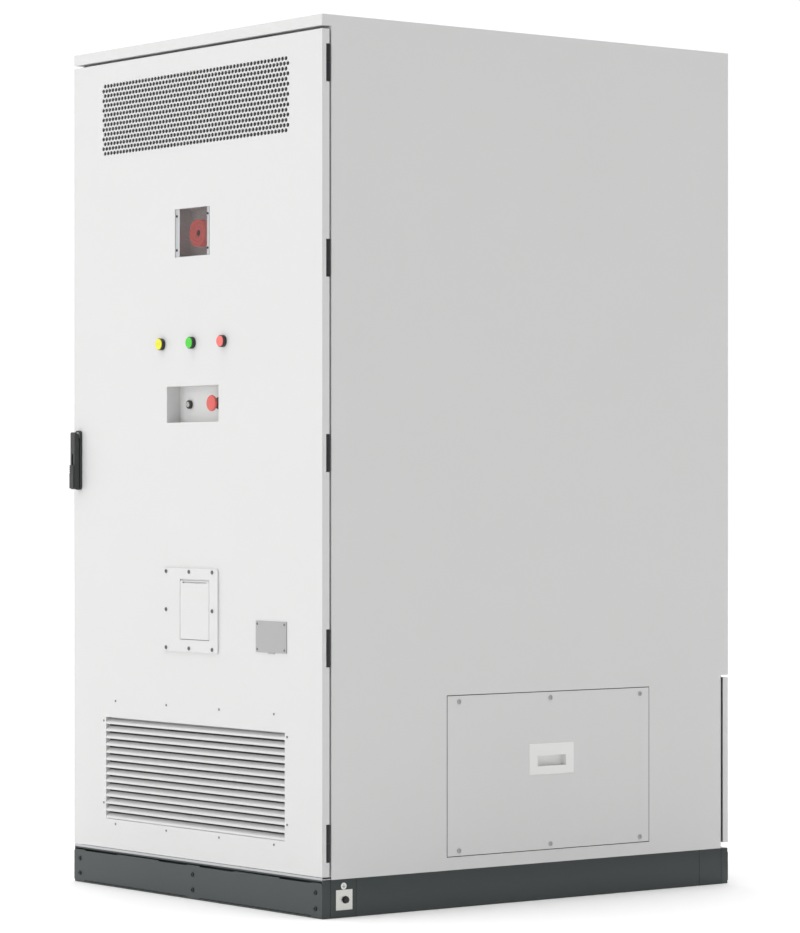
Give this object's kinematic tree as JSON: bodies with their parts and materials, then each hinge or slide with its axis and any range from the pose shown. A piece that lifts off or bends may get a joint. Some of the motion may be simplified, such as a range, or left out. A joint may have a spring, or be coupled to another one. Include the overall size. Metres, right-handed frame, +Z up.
{
  "type": "battery cabinet",
  "caption": "Free-standing outdoor battery cabinet: full-width hinged door with swing handle, louvre, lamps and vents; five battery packs inside.",
  "frame": {"origin": "on the floor, in the middle of the four anchor holes and of the cabinet's footprint", "axes": "+Z up, -Y out of the door, +X to the right of someone facing the door"},
  "size_m": [1.076, 1.3207, 2.12],
  "materials": {
    "white_paint": "light grey-white powder coat, fine texture",
    "plinth_paint": "dark grey powder coat",
    "grey_paint": "mid grey powder coat",
    "box_paint": "satin grey paint",
    "pack_paint": "dark satin paint",
    "red_paint": "gloss red paint",
    "galvanised_steel": "dull galvanised sheet",
    "plated_steel": "zinc plated",
    "black_steel": "black satin",
    "mesh_steel": "dark grey perforated sheet",
    "zinc_cast": "die-cast zinc, as cast",
    "handle_black": "matt black, fine grain",
    "black_plastic": "matt black",
    "white_plastic": "matt light grey-white",
    "orange_plastic": "satin orange",
    "red_plastic": "gloss red",
    "lens_yellow": "translucent yellow lens",
    "lens_green": "translucent green lens",
    "lens_red": "translucent red lens",
    "seal_rubber": "closed-cell foam"
  },
  "bodies": {
    "cabinet": {"plinth_corners": "plinth_paint", "plinth_rails": "plinth_paint", "plinth_covers": "plinth_paint", "panel_screws": "plated_steel", "earth_plate": "plated_steel", "earth_bolt": "black_steel", "floor_tray": "galvanised_steel", "gland_plate": "galvanised_steel", "side_panel_left": "white_paint", "side_panel_right": "white_paint", "roof_panel": "white_paint", "rear_panel": "white_paint", "rear_cover": "white_paint", "cabinet_frame": "galvanised_steel", "access_cover": "white_paint", "pull_cup": "white_plastic", "hinge_leaves": "black_steel", "rack_runners": "galvanised_steel", "battery_pack_1": "pack_paint", "battery_pack_2": "pack_paint", "battery_pack_3": "pack_paint", "battery_pack_4": "pack_paint", "battery_pack_5": "pack_paint", "control_box": "box_paint", "power_links": "orange_plastic", "converter_case": "box_paint", "cooling_unit": "box_paint", "gas_canister": "red_paint"},
    "converter_fan_1": {"converter_fan_1": "black_plastic"},
    "converter_fan_2": {"converter_fan_2": "black_plastic"},
    "cooling_fan": {"cooling_fan": "black_plastic"},
    "isolator_handle": {"isolator_handle": "red_plastic"},
    "door": {"door_skin": "white_paint", "door_stiffeners": "galvanised_steel", "door_seal": "seal_rubber", "vent_screen": "white_paint", "louvre_bank": "white_paint", "door_hinge_leaves": "black_steel", "door_pockets": "white_paint", "beacon_cover": "mesh_steel", "beacon_lamp": "red_plastic", "lamp_yellow": "lens_yellow", "lamp_green": "lens_green", "lamp_red": "lens_red", "control_bodies": "black_plastic", "vent_plate": "white_paint", "port_plate": "grey_paint", "handle_base": "handle_black", "lock_case": "zinc_cast", "door_fasteners": "plated_steel"},
    "key_core": {"key_core": "plated_steel"},
    "estop_plunger": {"estop_plunger": "black_plastic"},
    "estop_head": {"estop_head": "red_plastic"},
    "vent_flap": {"vent_flap": "white_paint"},
    "handle_hub": {"handle_hub": "zinc_cast"},
    "handle_lever": {"handle_lever": "handle_black"},
    "cylinder_cover": {"cylinder_cover": "handle_black"},
    "lock_cylinder": {"lock_cylinder": "plated_steel"},
    "upper_rod": {"upper_rod": "zinc_cast"},
    "lower_rod": {"lower_rod": "zinc_cast"}
  },
  "joints": [
    {"name": "door_hinge", "type": "hinge", "parent": "cabinet", "child": "door", "pos_m": [0.5295, -0.626, 1.0915], "axis": [0, 0, 1], "range_deg": [0, 110]},
    {"name": "handle_turn", "type": "hinge", "parent": "door", "child": "handle_hub", "pos_m": [-0.508, -0.646, 1.143], "axis": [0, -1, 0], "range_deg": [0, 90]},
    {"name": "lever_lift", "type": "hinge", "parent": "handle_hub", "child": "handle_lever", "pos_m": [-0.508, -0.659, 1.143], "axis": [-1, 0, 0], "range_deg": [0, 35]},
    {"name": "cover_slide", "type": "slide", "parent": "handle_lever", "child": "cylinder_cover", "axis": [0, 0, 1], "range_m": [0, 0.028]},
    {"name": "cylinder_turn", "type": "hinge", "parent": "handle_lever", "child": "lock_cylinder", "pos_m": [-0.508, -0.664, 1.02], "axis": [0, -1, 0], "range_deg": [0, 90]},
    {"name": "upper_rod_slide", "type": "slide", "parent": "door", "child": "upper_rod", "axis": [0, 0, -1], "range_m": [0, 0.0189]},
    {"name": "lower_rod_slide", "type": "slide", "parent": "door", "child": "lower_rod", "axis": [0, 0, 1], "range_m": [0, 0.0189]},
    {"name": "estop_push", "type": "slide", "parent": "door", "child": "estop_plunger", "axis": [0, 1, 0], "range_m": [0, 0.005], "stiffness_N_per_m": 600},
    {"name": "estop_twist", "type": "hinge", "parent": "estop_plunger", "child": "estop_head", "pos_m": [0.066, -0.632, 1.217], "axis": [0, -1, 0], "range_deg": [0, 45], "stiffness_Nm_per_rad": 0.02},
    {"name": "key_switch_turn", "type": "hinge", "parent": "door", "child": "key_core", "pos_m": [-0.066, -0.61, 1.216], "axis": [0, -1, 0], "range_deg": [0, 90]},
    {"name": "vent_flap_lift", "type": "hinge", "parent": "door", "child": "vent_flap", "pos_m": [0.0146, -0.648, 0.7803], "axis": [-1, 0, 0], "range_deg": [0, 70]},
    {"name": "isolator_turn", "type": "hinge", "parent": "cabinet", "child": "isolator_handle", "pos_m": [-0.2075, -0.49, 1.88], "axis": [0, -1, 0], "range_deg": [0, 90]},
    {"name": "converter_fan_1_spin", "type": "hinge", "parent": "cabinet", "child": "converter_fan_1", "pos_m": [0.11895, -0.463, 1.88], "axis": [0, 1, 0], "continuous": true},
    {"name": "converter_fan_2_spin", "type": "hinge", "parent": "cabinet", "child": "converter_fan_2", "pos_m": [0.29605, -0.463, 1.88], "axis": [0, 1, 0], "continuous": true},
    {"name": "cooling_fan_spin", "type": "hinge", "parent": "cabinet", "child": "cooling_fan", "pos_m": [-0.176, -0.501, 0.2729], "axis": [0, 1, 0], "continuous": true}
  ],
  "couplings": [
    {"joint": "upper_rod_slide", "follows": "handle_turn", "m_per_rad": 0.012},
    {"joint": "lower_rod_slide", "follows": "handle_turn", "m_per_rad": 0.012}
  ]
}
